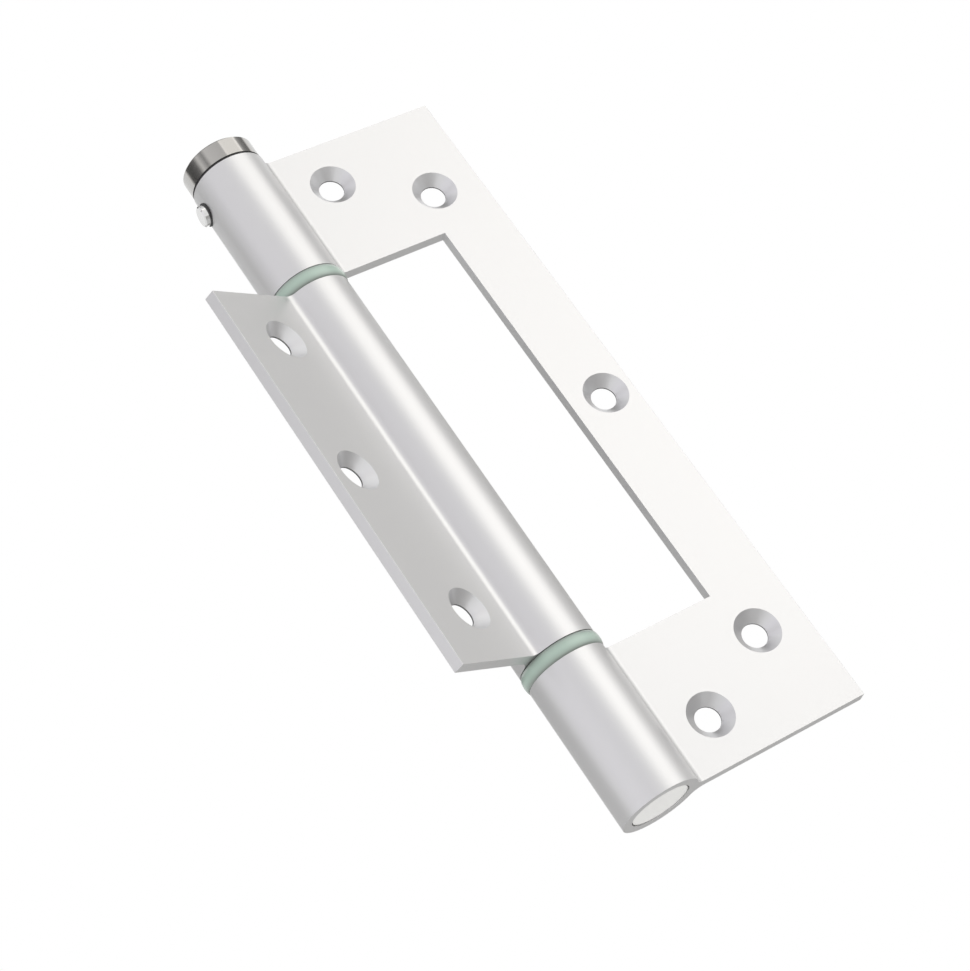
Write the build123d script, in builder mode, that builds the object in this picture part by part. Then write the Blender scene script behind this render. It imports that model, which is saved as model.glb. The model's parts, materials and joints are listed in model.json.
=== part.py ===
from build123d import *
import math
import os

# Single action spring hinge: two extruded aluminium leaves that nest in one plane, with an
# adjustable torsion spring in the barrel. All sizes are in millimetres and degrees.
#
# Frame: +Z runs up the pin's axis towards the tension cap, +X from the pin to the frame leaf's
# outer edge and +Y into the jamb. The origin is on the frame leaf's mounting face, midway
# between its two inner screw holes.

# Section of both extrusions
leaf_thickness = 2.8
barrel_diameter = 18.7
bore_diameter = 14.2
front_fillet_radius = 2.2
back_fillet_radius = 3.5
edge_radius = 0.1

# Frame leaf, measured from the pin's axis
frame_leaf_height = 180.0
frame_leaf_width = 54.3

# Door leaf, the gaps round it when it nests, and how far it stands open from there
door_leaf_height = 102.0
door_leaf_width = 35.2
knuckle_gap = 3.7
window_side_gap = 2.6
door_opening_angle = 145.6

# Countersunk screw holes: rows from the pin's axis, and setbacks from each leaf's ends
screw_hole_diameter = 6.0
countersink_diameter = 10.9
countersink_angle = 90.0
frame_inner_row = 21.1
frame_inner_setback = 11.8
frame_outer_row = 42.4
frame_outer_setback = 23.5
frame_centre_row = 47.2
door_screw_row = 21.0
door_screw_setback = 13.4
door_centre_row = 26.9

# Plastic bearing rings in the gaps between knuckles
ring_bulge = 0.35
ring_edge_inset = 0.3
ring_end_clearance = 0.05
ring_spigot_length = 3.0

# Tension spindle and its cap
spindle_diameter = 12.4
cap_diameter = 18.4
cap_height = 5.0
cap_edge_chamfer = 0.35
cap_washer_thickness = 0.7
cap_washer_diameter = 18.1
key_size = 6.0
key_depth = 5.0

# Lock pin, in a sleeve through the upper knuckle, with its tip in one of the spindle's two slots
pin_azimuth = 175.0
pin_drop = 6.0
pin_head_diameter = 5.1
pin_head_projection = 1.5
pin_head_chamfer = 0.3
pin_hole_diameter = 5.8
pin_sleeve_projection = 0.15
pin_tip_diameter = 3.0
pin_shoulder_clearance = 0.4
slot_depth = 2.0
slot_clearance = 0.3
winding_range = 90.0
slot_count = 2

# Bushes and fits
running_clearance = 0.05
free_clearance = 0.3
bush_hole_gap = 0.6
collar_bush_setback = 0.1
pivot_bush_length = 15.0
pivot_bush_setback = 0.2

# Torsion spring, its core rod and its anchor in the door leaf's knuckle
wire_diameter = 2.4
coil_diameter = 10.8
coil_gap = 0.25
tang_length = 4.5
tang_bend = 2.0
tang_bush_gap = 1.0
tang_azimuth = 245.0
rod_diameter = 6.0
rod_grip = 20.0
anchor_length = 14.0
anchor_pocket_diameter = 10.4
anchor_pocket_depth = 6.0
rod_tail = 2.6
clip_diameter = 8.8
clip_thickness = 0.9
clip_groove_diameter = 4.8
clip_opening_angle = 60.0
dowel_diameter = 3.0
dowel_depth = 5.2
dowel_setback = 0.1
anchor_dowel_drop = 3.5
anchor_dowel_azimuth = 65.0

# Fixed pivot in the lower knuckle, its dowel, its thrust disc and the plug under it
pivot_journal_diameter = 11.0
thrust_disc_thickness = 1.0
thrust_disc_diameter = 13.2
pivot_dowel_azimuth = 90.0
pivot_disc_rise = 0.8
plug_thickness = 5.0
plug_setback = 0.2
plug_rim_gap = 0.3
plug_rim_depth = 1.5

# Worked out from the sizes above
pin_x = -frame_inner_row
pin_y = -leaf_thickness / 2
pin_axis = Axis((pin_x, pin_y, 0), (0, 0, 1))
barrel_radius = barrel_diameter / 2
bore_radius = bore_diameter / 2
spindle_radius = spindle_diameter / 2
coil_radius = coil_diameter / 2
wire_radius = wire_diameter / 2
rod_radius = rod_diameter / 2
frame_top = frame_leaf_height / 2
door_top = door_leaf_height / 2
window_top = door_top + knuckle_gap
window_edge = door_leaf_width + window_side_gap
cap_base = frame_top + cap_washer_thickness
pin_height = frame_top - pin_drop
spindle_slot_floor = spindle_radius - slot_depth
upper_bush_low = door_top - pivot_bush_setback - pivot_bush_length
lower_bush_high = -door_top + pivot_bush_setback + pivot_bush_length
tang_slot_depth = tang_length + slot_clearance
tang_slot_width = wire_diameter + running_clearance * 2
spindle_end_height = upper_bush_low - tang_bush_gap - tang_slot_depth
pivot_top = lower_bush_high + pivot_disc_rise
anchor_base = pivot_top + thrust_disc_thickness
anchor_height = anchor_base + anchor_length
anchor_dowel_height = anchor_height - anchor_dowel_drop
pocket_top = anchor_base + anchor_pocket_depth
pivot_dowel_height = -(window_top + frame_top) / 2
coil_low = anchor_height + tang_bend
coil_rise = spindle_end_height - tang_bend - coil_low
coil_pitch = wire_diameter + coil_gap
bend_angle = math.degrees(tang_bend / coil_radius)
upper_tang_azimuth = tang_azimuth + 2 * bend_angle + 360 * coil_rise / coil_pitch
frame_side = -1
door_side = 1


def axis_plane(height, azimuth=0.0):
    """Level plane centred on the pin's axis, with its X turned to an azimuth."""
    turn = math.radians(azimuth)
    return Plane(origin=(pin_x, pin_y, height), x_dir=(math.cos(turn), math.sin(turn), 0))


def section_plane(azimuth=0.0):
    """Upright plane through the pin's axis: X runs outwards and Y up the pin."""
    base = axis_plane(0, azimuth)
    return Plane(origin=base.origin, x_dir=base.x_dir, z_dir=-base.y_dir)


def radial_plane(height, azimuth, distance=0.0):
    """Plane that faces outwards from the pin's axis, at a distance from it."""
    base = axis_plane(height, azimuth)
    return Plane(origin=base.origin + base.x_dir * distance, x_dir=(0, 0, 1), z_dir=base.x_dir)


def face_plane(azimuth, side, along, height):
    """Plane on a leaf's countersunk face, with its normal pointing out of the leaf."""
    base = axis_plane(height, azimuth)
    origin = base.from_local_coords((along, side * leaf_thickness / 2, 0))
    return Plane(origin=origin, x_dir=base.x_dir, z_dir=base.y_dir * side)


def leaf_blank(height, width, azimuth, side):
    """One extrusion: barrel, leaf and the fillets between them, with the bore through it."""
    base = axis_plane(-height / 2, azimuth)
    with BuildPart() as blank:
        with BuildSketch(base):
            Circle(barrel_radius)
            with Locations((width / 2, 0)):
                Rectangle(width, leaf_thickness)
        extrude(amount=height)
        for radius, way in ((front_fillet_radius, side), (back_fillet_radius, -side)):
            corners = [
                edge
                for edge in blank.edges().filter_by(Axis.Z)
                if abs(base.to_local_coords(edge.center()).X) < barrel_radius
                and base.to_local_coords(edge.center()).Y * way > 0
            ]
            fillet(corners, radius)
        outer = [
            edge
            for edge in blank.edges().filter_by(Axis.Z)
            if base.to_local_coords(edge.center()).X > width - edge_radius
        ]
        fillet(outer, edge_radius)
        with BuildSketch(base):
            Circle(bore_radius)
        extrude(amount=height, mode=Mode.SUBTRACT)
    return blank.part


def sleeve(outer_diameter, inner_diameter, low, high):
    """Plain tube or washer round the pin's axis."""
    with BuildPart() as ring:
        with BuildSketch(axis_plane(low)):
            Circle(outer_diameter / 2)
            Circle(inner_diameter / 2, mode=Mode.SUBTRACT)
        extrude(amount=high - low)
    return ring


def bearing_ring(low, high, inner_diameter, spigot):
    """Plastic ring with a full, rounded rim, and a spigot of the given length on its upper side."""
    with BuildPart() as ring:
        with BuildSketch(section_plane()):
            with BuildLine():
                rim = EllipticalCenterArc(
                    center=(barrel_radius - ring_edge_inset, (low + high) / 2),
                    x_radius=ring_edge_inset + ring_bulge,
                    y_radius=(high - low) / 2,
                    start_angle=-90,
                    arc_size=180,
                )
                Polyline(rim @ 1, (inner_diameter / 2, high), (inner_diameter / 2, low), rim @ 0)
            make_face()
        revolve(axis=pin_axis)
        if spigot > 0:
            with BuildSketch(axis_plane(high)):
                Circle(bore_radius)
                Circle(inner_diameter / 2, mode=Mode.SUBTRACT)
            extrude(amount=spigot)
    return ring


def dowel(azimuth, height):
    """Dowel driven in from the side, flush with the barrel."""
    outer_end = barrel_radius - dowel_setback
    with BuildPart() as peg:
        with BuildSketch(radial_plane(height, azimuth, outer_end - dowel_depth)):
            Circle(dowel_diameter / 2)
        extrude(amount=dowel_depth)
    return peg


# Frame leaf: the window parts its barrel into an upper and a lower knuckle
with BuildPart() as frame_leaf:
    add(leaf_blank(frame_leaf_height, frame_leaf_width, 0, frame_side))
    with BuildSketch(axis_plane(-window_top)):
        with Locations(((window_edge - barrel_diameter) / 2, 0)):
            Rectangle(window_edge + barrel_diameter, barrel_diameter * 2)
    extrude(amount=window_top * 2, mode=Mode.SUBTRACT)
    frame_screws = [(frame_centre_row, 0)]
    for way in (1, -1):
        frame_screws.append((frame_inner_row, way * (frame_top - frame_inner_setback)))
        frame_screws.append((frame_outer_row, way * (frame_top - frame_outer_setback)))
    with Locations(*[face_plane(0, frame_side, along, height) for along, height in frame_screws]):
        CounterSinkHole(
            screw_hole_diameter / 2,
            countersink_diameter / 2,
            counter_sink_angle=countersink_angle,
            depth=leaf_thickness,
        )
    with BuildSketch(radial_plane(pin_height, pin_azimuth)):
        Circle(pin_hole_diameter / 2)
    extrude(amount=barrel_diameter, mode=Mode.SUBTRACT)
    with BuildSketch(radial_plane(pivot_dowel_height, pivot_dowel_azimuth)):
        Circle(dowel_diameter / 2)
    extrude(amount=barrel_diameter, mode=Mode.SUBTRACT)

# Door leaf: its knuckle turns between the frame leaf's two
with BuildPart() as door_leaf:
    add(leaf_blank(door_leaf_height, door_leaf_width, -door_opening_angle, door_side))
    door_screws = [(door_centre_row, 0)]
    for way in (1, -1):
        door_screws.append((door_screw_row, way * (door_top - door_screw_setback)))
    with Locations(
        *[face_plane(-door_opening_angle, door_side, along, height) for along, height in door_screws]
    ):
        CounterSinkHole(
            screw_hole_diameter / 2,
            countersink_diameter / 2,
            counter_sink_angle=countersink_angle,
            depth=leaf_thickness,
        )
    with BuildSketch(radial_plane(anchor_dowel_height, anchor_dowel_azimuth)):
        Circle(dowel_diameter / 2)
    extrude(amount=barrel_diameter, mode=Mode.SUBTRACT)

# Tension spindle, turned with its cap from one steel bar
with BuildPart() as tension_spindle:
    with BuildSketch(axis_plane(spindle_end_height)):
        Circle(spindle_radius)
    extrude(amount=cap_base - spindle_end_height)
    with BuildSketch(axis_plane(cap_base)):
        Circle(cap_diameter / 2)
    extrude(amount=cap_height)
    cap_edges = tension_spindle.edges().filter_by(GeomType.CIRCLE).group_by(Axis.Z)[-1]
    chamfer(cap_edges, cap_edge_chamfer)
    with BuildSketch(axis_plane(cap_base + cap_height)):
        RegularPolygon(key_size / 2, 6, major_radius=False)
    extrude(amount=-key_depth, mode=Mode.SUBTRACT)
    with BuildSketch(axis_plane(spindle_end_height)):
        Circle(rod_radius)
    extrude(amount=rod_grip, mode=Mode.SUBTRACT)
    tip_half_angle = math.degrees(math.asin(pin_tip_diameter / 2 / spindle_slot_floor))
    slot_margin = tip_half_angle + math.degrees(slot_clearance / spindle_slot_floor)
    slot_span = winding_range + 2 * slot_margin
    for index in range(slot_count):
        slot_start = pin_azimuth + slot_margin - slot_span + index * 360 / slot_count
        with BuildSketch(section_plane(slot_start)):
            with Locations((spindle_slot_floor + slot_depth, pin_height)):
                Rectangle(slot_depth * 2, pin_tip_diameter + slot_clearance * 2)
        revolve(axis=pin_axis, revolution_arc=slot_span, mode=Mode.SUBTRACT)
    with BuildSketch(axis_plane(spindle_end_height, upper_tang_azimuth)):
        with Locations((coil_radius, 0)):
            Rectangle(wire_diameter + slot_clearance, tang_slot_width)
    extrude(amount=tang_slot_depth, mode=Mode.SUBTRACT)

# Black slip washer, which shows as a dark line between the cap and the knuckle
cap_washer = sleeve(
    cap_washer_diameter, spindle_diameter + 2 * free_clearance, frame_top, cap_base
)

# Black sleeve in the knuckle's side hole, cut square, so it stands clear of the round barrel
pin_shoulder = spindle_radius + pin_shoulder_clearance
with BuildPart() as pin_sleeve:
    with BuildSketch(radial_plane(pin_height, pin_azimuth, pin_shoulder)):
        Circle(pin_hole_diameter / 2)
        Circle(pin_head_diameter / 2 + running_clearance, mode=Mode.SUBTRACT)
    extrude(amount=barrel_radius + pin_sleeve_projection - pin_shoulder)

# Lock pin: its head stands out of the sleeve and its tip is in the spindle's slot
with BuildPart() as lock_pin:
    pin_tip = spindle_slot_floor + slot_clearance
    pin_end = barrel_radius + pin_head_projection
    with BuildSketch(radial_plane(pin_height, pin_azimuth, pin_tip)):
        Circle(pin_tip_diameter / 2)
    extrude(amount=pin_shoulder - pin_tip)
    with BuildSketch(radial_plane(pin_height, pin_azimuth, pin_shoulder)):
        Circle(pin_head_diameter / 2)
    extrude(amount=pin_end - pin_shoulder)
    outward = Axis((0, 0, 0), radial_plane(pin_height, pin_azimuth).z_dir)
    chamfer(lock_pin.edges().filter_by(GeomType.CIRCLE).sort_by(outward)[-1], pin_head_chamfer)

# Plastic bushes that carry the spindle in the upper knuckle
guide_bush = sleeve(
    bore_diameter,
    spindle_diameter + 2 * running_clearance,
    window_top + ring_spigot_length,
    pin_height - pin_hole_diameter / 2 - bush_hole_gap,
)
collar_bush = sleeve(
    bore_diameter,
    spindle_diameter + 2 * running_clearance,
    pin_height + pin_hole_diameter / 2 + bush_hole_gap,
    frame_top - collar_bush_setback,
)

# Pale green bearing rings between the knuckles
upper_bearing_ring = bearing_ring(
    door_top + ring_end_clearance,
    window_top,
    spindle_diameter + 2 * free_clearance,
    ring_spigot_length,
)
lower_bearing_ring = bearing_ring(
    -window_top,
    -door_top - ring_end_clearance,
    pivot_journal_diameter + 2 * running_clearance,
    0,
)

# Plastic bushes in the door leaf's knuckle
upper_pivot_bush = sleeve(
    bore_diameter,
    spindle_diameter + 2 * running_clearance,
    upper_bush_low,
    door_top - pivot_bush_setback,
)
lower_pivot_bush = sleeve(
    bore_diameter,
    pivot_journal_diameter + 2 * running_clearance,
    -door_top + pivot_bush_setback,
    lower_bush_high,
)

# Core rod, pressed into the spindle, with a clip groove under the anchor
clip_top = pocket_top - running_clearance * 2
with BuildPart() as core_rod:
    rod_end = clip_top - clip_thickness - rod_tail
    with BuildSketch(axis_plane(rod_end)):
        Circle(rod_radius)
    extrude(amount=spindle_end_height + rod_grip - rod_end)
    with BuildSketch(axis_plane(clip_top - clip_thickness)):
        Circle(rod_diameter)
        Circle(clip_groove_diameter / 2, mode=Mode.SUBTRACT)
    extrude(amount=clip_thickness, mode=Mode.SUBTRACT)

# Open clip in that groove
with BuildPart() as rod_clip:
    with BuildSketch(axis_plane(clip_top - clip_thickness)):
        Circle(clip_diameter / 2)
        Circle(clip_groove_diameter / 2, mode=Mode.SUBTRACT)
        with BuildLine():
            mouth = math.radians(clip_opening_angle / 2)
            reach = clip_diameter
            Polyline(
                (0, 0),
                (reach * math.cos(mouth), reach * math.sin(mouth)),
                (reach * math.cos(mouth), -reach * math.sin(mouth)),
                close=True,
            )
        make_face(mode=Mode.SUBTRACT)
    extrude(amount=clip_thickness)

# Anchor: a steel block in the door leaf's knuckle that takes the spring's lower end
with BuildPart() as spring_anchor:
    with BuildSketch(axis_plane(anchor_base)):
        Circle(bore_radius)
        Circle(rod_radius + running_clearance, mode=Mode.SUBTRACT)
    extrude(amount=anchor_length)
    with BuildSketch(axis_plane(anchor_base)):
        Circle(anchor_pocket_diameter / 2)
    extrude(amount=anchor_pocket_depth, mode=Mode.SUBTRACT)
    with BuildSketch(axis_plane(anchor_height, tang_azimuth)):
        with Locations((coil_radius, 0)):
            Rectangle(wire_diameter + slot_clearance, tang_slot_width)
    extrude(amount=-tang_slot_depth, mode=Mode.SUBTRACT)
    with BuildSketch(radial_plane(anchor_dowel_height, anchor_dowel_azimuth)):
        Circle(dowel_diameter / 2)
    extrude(amount=barrel_diameter, mode=Mode.SUBTRACT)

anchor_dowel = dowel(anchor_dowel_azimuth, anchor_dowel_height)

# Torsion spring: close coils, and at each end a bend into a straight tang along the axis
coil_start = axis_plane(coil_low, tang_azimuth + bend_angle)
coil = coil_start.location * Helix(coil_pitch, coil_rise, coil_radius)
with BuildPart() as torsion_spring:
    with BuildSketch(Plane(origin=coil @ 0, z_dir=coil % 0)):
        Circle(wire_radius)
    sweep(path=coil, is_frenet=True)
    tangs = (
        (0, -1, axis_plane(anchor_height, tang_azimuth)),
        (1, 1, axis_plane(spindle_end_height, upper_tang_azimuth)),
    )
    for end, way, tang_place in tangs:
        tang_start = tang_place.from_local_coords((coil_radius, 0, 0))
        leaving = (coil % end) * way
        with BuildLine():
            bend = Spline(coil @ end, tang_start, tangents=(leaving, (0, 0, way)))
        with BuildSketch(Plane(origin=coil @ end, z_dir=leaving)):
            Circle(wire_radius)
        sweep(path=bend)
        with BuildSketch(tang_place):
            with Locations((coil_radius, 0)):
                Circle(wire_radius)
        extrude(amount=way * tang_length)

# Thrust disc on top of the fixed pivot
thrust_disc = sleeve(thrust_disc_diameter, rod_diameter, pivot_top, anchor_base)

# Fixed pivot: pressed and dowelled into the lower knuckle, with a journal for the door leaf
plug_face = -frame_top + plug_setback
with BuildPart() as lower_pivot:
    with BuildSketch(axis_plane(plug_face + plug_thickness)):
        Circle(bore_radius)
    extrude(amount=-window_top - plug_face - plug_thickness)
    with BuildSketch(axis_plane(-window_top)):
        Circle(pivot_journal_diameter / 2)
    extrude(amount=pivot_top + window_top)
    with BuildSketch(
        radial_plane(pivot_dowel_height, pivot_dowel_azimuth, barrel_radius - dowel_setback - dowel_depth)
    ):
        Circle(dowel_diameter / 2)
    extrude(amount=barrel_diameter, mode=Mode.SUBTRACT)

pivot_dowel = dowel(pivot_dowel_azimuth, pivot_dowel_height)

# Plug that closes the lower knuckle, set in a little, with a narrow gap round its outer rim
with BuildPart() as end_plug:
    with BuildSketch(axis_plane(plug_face)):
        Circle(bore_radius - plug_rim_gap)
    extrude(amount=plug_thickness)
    with BuildSketch(axis_plane(plug_face + plug_rim_depth)):
        Circle(bore_radius)
    extrude(amount=plug_thickness - plug_rim_depth)

pieces = {
    "frame_leaf": frame_leaf,
    "door_leaf": door_leaf,
    "tension_spindle": tension_spindle,
    "cap_washer": cap_washer,
    "lock_pin": lock_pin,
    "pin_sleeve": pin_sleeve,
    "guide_bush": guide_bush,
    "collar_bush": collar_bush,
    "upper_bearing_ring": upper_bearing_ring,
    "lower_bearing_ring": lower_bearing_ring,
    "upper_pivot_bush": upper_pivot_bush,
    "lower_pivot_bush": lower_pivot_bush,
    "core_rod": core_rod,
    "rod_clip": rod_clip,
    "spring_anchor": spring_anchor,
    "anchor_dowel": anchor_dowel,
    "torsion_spring": torsion_spring,
    "thrust_disc": thrust_disc,
    "lower_pivot": lower_pivot,
    "pivot_dowel": pivot_dowel,
    "end_plug": end_plug,
}

os.makedirs("parts", exist_ok=True)
for name, piece in pieces.items():
    piece.part.label = name
    export_step(piece.part, f"parts/{name}.step")
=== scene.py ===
import json
import math

import bmesh
import bpy
from bpy.props import FloatProperty, FloatVectorProperty, IntProperty, PointerProperty
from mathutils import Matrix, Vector

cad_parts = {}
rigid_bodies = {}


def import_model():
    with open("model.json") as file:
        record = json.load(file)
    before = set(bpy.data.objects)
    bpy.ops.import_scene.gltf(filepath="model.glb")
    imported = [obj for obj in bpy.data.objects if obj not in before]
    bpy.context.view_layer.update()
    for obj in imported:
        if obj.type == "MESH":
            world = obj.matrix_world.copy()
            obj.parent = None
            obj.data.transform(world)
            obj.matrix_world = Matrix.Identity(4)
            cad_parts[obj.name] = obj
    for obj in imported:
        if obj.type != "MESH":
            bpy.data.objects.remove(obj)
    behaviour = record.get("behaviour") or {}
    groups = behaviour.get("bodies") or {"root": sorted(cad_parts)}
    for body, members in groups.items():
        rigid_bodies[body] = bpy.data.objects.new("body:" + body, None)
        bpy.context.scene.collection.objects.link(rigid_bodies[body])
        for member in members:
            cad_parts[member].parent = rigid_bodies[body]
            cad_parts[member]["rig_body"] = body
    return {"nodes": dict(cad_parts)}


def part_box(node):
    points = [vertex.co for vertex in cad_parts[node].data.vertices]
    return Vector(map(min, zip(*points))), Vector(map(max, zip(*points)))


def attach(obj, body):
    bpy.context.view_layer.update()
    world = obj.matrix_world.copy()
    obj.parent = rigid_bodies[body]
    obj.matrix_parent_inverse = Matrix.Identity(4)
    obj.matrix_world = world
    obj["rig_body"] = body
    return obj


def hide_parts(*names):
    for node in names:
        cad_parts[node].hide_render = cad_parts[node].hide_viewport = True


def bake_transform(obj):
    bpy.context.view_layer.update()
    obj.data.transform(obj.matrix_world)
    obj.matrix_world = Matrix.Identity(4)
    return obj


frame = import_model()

bl_info = {
    "name": "Single Action Spring Hinge",
    "version": (1, 0, 0),
    "blender": (4, 5, 0),
    "location": "View3D > Sidebar > Spring Hinge",
    "description": "Finishes an aluminium spring hinge: edges, wound spring, turned bushes, studio",
    "category": "Object",
}

MM = 0.001

# The pin's axis is upright. The slip washer under the cap is centred on it.
WASHER_LOW, WASHER_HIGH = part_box("cap_washer")
PIN = Vector(((WASHER_LOW.x + WASHER_HIGH.x) / 2, (WASHER_LOW.y + WASHER_HIGH.y) / 2, 0))
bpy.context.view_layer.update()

# Points this close count as level with each other, or as one point.
TOUCH = 0.01 * MM
SAME_POINT = 0.001 * MM

# A screw hole's walls: the slope of its cone, and how far a face's slope may be off.
CONE_ANGLE = math.radians(45)
SLOPE_TOLERANCE = 0.03

# The lock pin is polished from well below its own height, in metres, so all over.
PIN_POLISHED_FROM = -1.0

# The camera's place in millimetres and its turn in degrees, fitted to the object's straight edges.
CAMERA_PLACE = (-229.16, -434.04, -202.22)
CAMERA_TURN = (116.097, 32.164, -12.044)
SENSOR_LONG_SIDE = 36.0

# The key lamp: where it stands as seen from the part's origin, in degrees and metres.
KEY_AZIMUTH = 309.0
KEY_ELEVATION = 22.0
KEY_DISTANCE = 1.2
KEY_WIDTH = 1.0
KEY_HEIGHT = 1.1

# The floor: its radius in metres, and how far its colour gives way to plain white in the picture.
FLOOR_RADIUS = 6.0
FLOOR_WHITENESS = 0.75

# Reflectors: tint, lowest and highest elevation in degrees, distance in metres, and tones by
# azimuth in degrees. Each is a curved board that only reflections show.
REFLECTOR_STEP = 2.0
REFLECTORS = {
    # Tall boards round the object, which the barrel and the leaves' upright edges mirror
    "cool_reflector": (
        "FCFAFF", -15, 62, 3.3,
        {175: 1.0, 200: 1.05, 225: 1.0, 245: 0.9, 270: 0.9},
    ),
    "side_reflector": ("FFFEFE", -15, 18, 3.0, {80: 0.64, 165: 0.64}),
    "side_upper_reflector": (
        "FFFEFE", 18, 27.5, 3.0,
        {80: 0.5, 95: 0.2, 130: 0.18, 150: 0.2, 165: 0.5},
    ),
    "leaf_reflector": ("FFFDFB", -15, 27.5, 3.0, {345: 0.68, 362: 0.68, 375: 0.58, 415: 0.58}),
    # Low boards, which the countersinks and the edges that face down mirror
    "floor_reflector": ("FFFDFB", -72, -32, 0.42, {225: 0.54, 300: 0.44, 345: 0.38, 380: 0.38}),
    "near_floor_reflector": ("FFFDFB", -32, -15, 0.7, {330: 0.38, 380: 0.36}),
    "low_reflector": ("FFFDFB", -23.5, -8, 0.65, {20: 0.25, 114: 0.25}),
    "lowest_reflector": ("FFFDFB", -38, -23.5, 0.65, {20: 0.5, 114: 0.5}),
    # High boards, which the sloping sides of the countersinks mirror
    "high_reflector": ("FFFFFF", 41, 75, 0.75, {85: 0.4, 95: 0.05, 122: 0.05, 140: 0.4}),
    "back_reflector": ("FFFCF8", 45, 75, 3.0, {15: 0.22, 85: 0.22}),
    # A narrow ring of boards, which the polished cap mirrors in bands
    "dark_reflector": (
        "FFFDFA", 28.5, 36.5, 3.0,
        {138: 1.08, 140: 1.0, 150: 0.12, 165: 0.08, 180: 0.12, 190: 0.2, 203: 0.85},
    ),
    "front_reflector": (
        "FFFDFB", 29, 36, 3.0,
        {
            203: 0.85, 211: 0.62, 221: 0.34, 232: 0.86, 262: 0.78,
            282: 0.7, 290: 0.47, 327: 0.47, 334: 0.8,
        },
    ),
    "edge_reflector": (
        "FFFDFB", 28.5, 36.5, 3.0,
        {334: 0.8, 345: 0.36, 365: 0.2, 372: 0.95, 380: 1.1},
    ),
}


def linear(code):
    """Turn an sRGB hex colour into the linear, opaque values that Blender's sockets take."""
    channels = []
    for start in (0, 2, 4):
        value = int(code[start:start + 2], 16) / 255
        channels.append(value / 12.92 if value <= 0.04045 else ((value + 0.055) / 1.055) ** 2.4)
    return (*channels, 1.0)


def add_node(tree, kind, inputs=None, **settings):
    """Add a node: settings are its properties, inputs are constants, sockets or nodes to link."""
    node = tree.nodes.new(kind)
    for name, value in settings.items():
        setattr(node, name, value)
    for key, value in (inputs or {}).items():
        socket = node.inputs[key]
        if isinstance(value, bpy.types.Node):
            value = value.outputs[0]
        if isinstance(value, bpy.types.NodeSocket):
            tree.links.new(value, socket)
        else:
            socket.default_value = value
    return node


def add_object(name, data):
    """A new object in the scene, at the origin."""
    piece = bpy.data.objects.new(name, data)
    bpy.context.scene.collection.objects.link(piece)
    return piece


def radial_distance(point):
    """Distance of a point from the pin's axis."""
    return math.hypot(point.x - PIN.x, point.y - PIN.y)


def node_points(node):
    """The corner points of a frame node, in its own place."""
    return [vertex.co for vertex in frame["nodes"][node].data.vertices]


# Materials

def start_material(name):
    """A new material with an empty node tree."""
    material = bpy.data.materials.new(name)
    material.use_nodes = True
    tree = material.node_tree
    tree.nodes.clear()
    return material, tree


def object_place(tree):
    """Where a point lies on the object, to draw patterns by."""
    return add_node(tree, "ShaderNodeTexCoord").outputs["Object"]


def grain(tree, place, spacing, stretch=(1, 1, 1)):
    """Noise whose features are about one spacing apart, longer along a stretched axis."""
    squeeze = [1 / part for part in stretch]
    scaled = add_node(tree, "ShaderNodeVectorMath", {0: place, 1: squeeze}, operation="MULTIPLY")
    return add_node(
        tree, "ShaderNodeTexNoise", {"Vector": scaled, "Scale": 1 / spacing, "Detail": 2.0}
    )


def place_round_pin(tree, place):
    """A point's distance from the pin's axis, and its height."""
    centred = add_node(tree, "ShaderNodeVectorMath", {0: place, 1: PIN}, operation="SUBTRACT")
    height = add_node(tree, "ShaderNodeSeparateXYZ", {0: centred}).outputs["Z"]
    level = add_node(
        tree, "ShaderNodeVectorMath", {0: centred, 1: (1, 1, 0)}, operation="MULTIPLY"
    )
    radius = add_node(tree, "ShaderNodeVectorMath", {0: level}, operation="LENGTH")
    return radius.outputs["Value"], height


def turning_rings(tree, radius, height, pitch):
    """Noise in rings round the pin's axis, as a lathe tool leaves on an end and on a side."""
    travel = add_node(tree, "ShaderNodeMath", {0: radius, 1: height}, operation="ADD")
    rings = add_node(
        tree,
        "ShaderNodeTexNoise",
        {"W": travel, "Scale": 1 / pitch, "Detail": 2.0},
        noise_dimensions="1D",
    )
    return rings


def satin_anodised_aluminium(finishes):
    """Extruded aluminium, bead blasted and anodised silver.

    The blasting leaves a fine matt tooth that turns reflections into soft bands, and the die
    leaves faint lines along the extrusion under it. The clear oxide over the metal scatters a
    little light of its own, so the finish is not wholly metallic.
    """
    material, tree = start_material("satin_anodised_aluminium")
    place = object_place(tree)
    tooth = grain(tree, place, finishes.blast_grit)
    die_lines = grain(tree, place, finishes.die_line_spacing, stretch=(1, 1, 60))
    tooth_bump = add_node(
        tree,
        "ShaderNodeBump",
        {"Height": tooth, "Strength": 0.06, "Distance": finishes.blast_grit * 0.1},
    )
    line_bump = add_node(
        tree,
        "ShaderNodeBump",
        {
            "Height": die_lines,
            "Strength": 0.03,
            "Distance": finishes.die_line_spacing * 0.05,
            "Normal": tooth_bump,
        },
    )
    roughness = add_node(
        tree, "ShaderNodeMapRange", {"Value": tooth, "To Min": 0.37, "To Max": 0.43}
    )
    shader = add_node(
        tree,
        "ShaderNodeBsdfPrincipled",
        {
            "Base Color": (*finishes.aluminium, 1),
            "Metallic": 0.87,
            "Roughness": roughness,
            "Normal": line_bump,
        },
    )
    add_node(tree, "ShaderNodeOutputMaterial", {"Surface": shader})
    return material


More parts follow.
